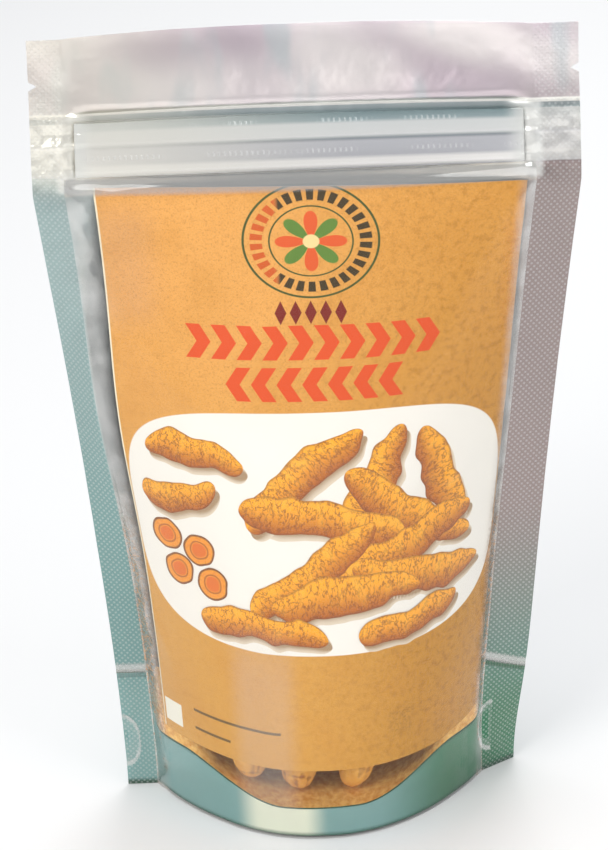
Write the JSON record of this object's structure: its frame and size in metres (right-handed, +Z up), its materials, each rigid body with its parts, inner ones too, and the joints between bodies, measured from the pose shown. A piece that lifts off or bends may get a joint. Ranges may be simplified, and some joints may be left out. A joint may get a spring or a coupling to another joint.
{
  "type": "stand-up zip pouch of dried turmeric fingers",
  "caption": "Stand-up zip pouch with a clear front, silver back and folded bottom gusset, holding a printed card and dried turmeric fingers.",
  "frame": {"origin": "on the surface the pouch stands on, under the middle of its box", "axes": "+Z up along the pouch, +X to the right seen from its clear front, -Y towards the viewer of that front"},
  "size_m": [0.15, 0.069, 0.2298],
  "materials": {
    "clear_film": "gloss",
    "silver_film": "satin",
    "zip": "gloss",
    "card": "satin",
    "turmeric": "matte"
  },
  "bodies": {
    "root": {"film_back": "silver_film", "film_front": "clear_film", "film_gusset": "silver_film", "finger_01": "turmeric", "finger_02": "turmeric", "finger_03": "turmeric", "finger_04": "turmeric", "finger_05": "turmeric", "finger_06": "turmeric", "finger_07": "turmeric", "finger_08": "turmeric", "finger_09": "turmeric", "finger_10": "turmeric", "finger_11": "turmeric", "finger_12": "turmeric", "finger_13": "turmeric", "finger_14": "turmeric", "finger_15": "turmeric", "finger_16": "turmeric", "finger_17": "turmeric", "finger_18": "turmeric", "finger_19": "turmeric", "finger_20": "turmeric", "finger_21": "turmeric", "finger_22": "turmeric", "finger_23": "turmeric", "finger_24": "turmeric", "finger_25": "turmeric", "label_card": "card", "zip_groove": "zip", "zip_rib": "zip"}
  },
  "joints": []
}
